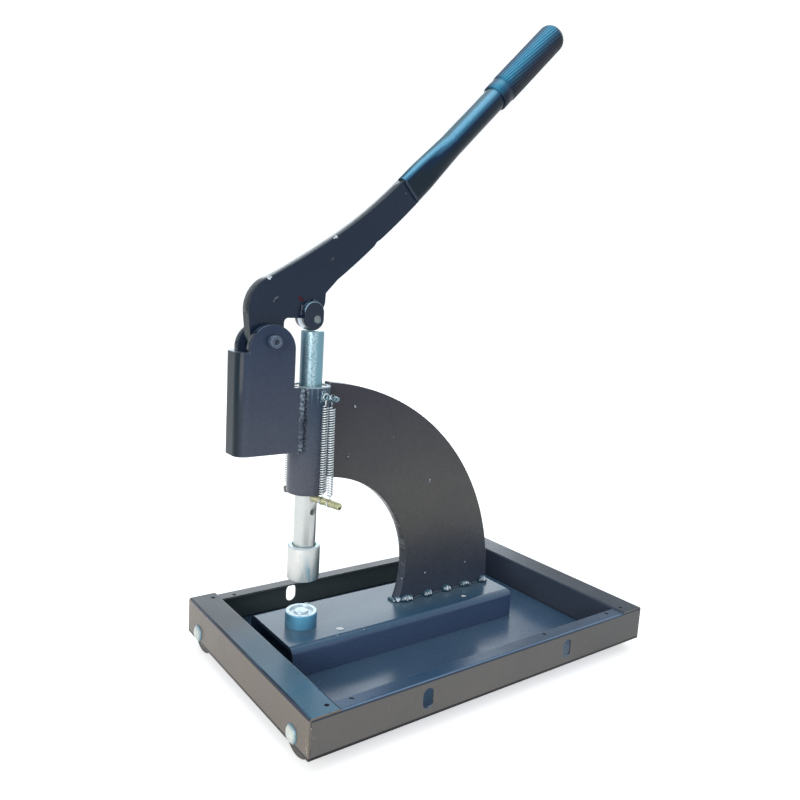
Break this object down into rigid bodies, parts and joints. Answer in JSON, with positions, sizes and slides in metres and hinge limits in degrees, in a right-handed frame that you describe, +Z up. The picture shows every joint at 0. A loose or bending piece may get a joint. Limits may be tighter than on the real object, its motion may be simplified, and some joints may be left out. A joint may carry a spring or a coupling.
{
  "type": "eyelet press",
  "caption": "Hand lever eyelet press: a curved column on a plinth in a shallow tray carries a sprung ram with an upper die over a lower die.",
  "frame": {"origin": "middle of the tray, on the ground under the round feet", "axes": "+Z up; +X along the tray from the punch end towards the end under the raised handle; +Y to the left of someone who faces along +X"},
  "size_m": [0.4897, 0.292, 0.7719],
  "materials": {
    "foot_plastic": "dark moulded plastic, slightly scuffed",
    "tray_paint": "smooth dark grey baked paint, semi-gloss, dusty",
    "frame_paint": "dark brownish grey baked paint, semi-gloss",
    "bracket_paint": "dark blue-grey baked paint, semi-gloss",
    "lever_paint": "dark navy-grey baked paint, semi-gloss",
    "handle_paint": "dark blue-grey gloss paint",
    "grip_rubber": "dark teal-blue fluted grip, satin",
    "zinc_steel": "turned and zinc-plated steel, pale blue-white",
    "black_steel": "oxide-black steel screw",
    "bright_steel": "bright hardened steel",
    "yellow_zinc": "yellow passivated zinc plating",
    "bronze": "sintered bronze bush"
  },
  "bodies": {
    "base": {"front_right_foot": "foot_plastic", "front_left_foot": "foot_plastic", "rear_right_foot": "foot_plastic", "rear_left_foot": "foot_plastic", "front_end_rail": "tray_paint", "rear_end_rail": "tray_paint", "right_side_rail": "tray_paint", "left_side_rail": "tray_paint", "tray_floor": "tray_paint", "foot_bolts": "zinc_steel", "foot_spacers": "zinc_steel", "foot_washers": "zinc_steel", "foot_nuts": "zinc_steel", "plinth_channel": "frame_paint", "plinth_welds": "frame_paint", "lower_die": "zinc_steel", "lower_die_nut": "zinc_steel", "column_plate": "frame_paint", "column_welds": "frame_paint", "guide_tube": "frame_paint", "lower_guide_bush": "bronze", "upper_guide_bush": "bronze", "tube_welds": "frame_paint", "fulcrum_bracket": "bracket_paint", "bracket_welds": "bracket_paint", "pivot_bolt": "black_steel", "pivot_nut": "zinc_steel", "pivot_spacers": "zinc_steel", "right_spring_stud": "frame_paint", "left_spring_stud": "frame_paint"},
    "lever": {"lever_plate": "lever_paint", "pivot_bush": "bronze", "right_fork_plate": "lever_paint", "left_fork_plate": "lever_paint", "fork_welds": "lever_paint", "roller_pin": "bright_steel", "handle_tube": "handle_paint", "handle_welds": "lever_paint", "hand_grip": "grip_rubber"},
    "roller": {"ram_roller": "bright_steel"},
    "ram": {"ram": "zinc_steel", "upper_die": "zinc_steel", "die_set_screw": "black_steel", "spring_cross_bar": "yellow_zinc", "right_inner_spring": "bright_steel", "right_outer_spring": "bright_steel", "left_spring": "bright_steel"}
  },
  "joints": [
    {"name": "lever_hinge", "type": "hinge", "parent": "base", "child": "lever", "pos_m": [-0.207, 0.0317, 0.3768], "axis": [0, 1, 0], "range_deg": [0, 39.7]},
    {"name": "ram_slide", "type": "slide", "parent": "base", "child": "ram", "axis": [0, 0, -1], "range_m": [0, 0.039], "stiffness_N_per_m": 2500, "springref_m": -0.05, "deforming": ["right_inner_spring", "right_outer_spring", "left_spring"]},
    {"name": "roller_spin", "type": "hinge", "parent": "lever", "child": "roller", "pos_m": [-0.15447, 0.0317, 0.40019], "axis": [0, 1, 0], "continuous": true}
  ],
  "couplings": [
    {"joint": "ram_slide", "follows": "lever_hinge", "m_per_rad": 0.0562}
  ]
}
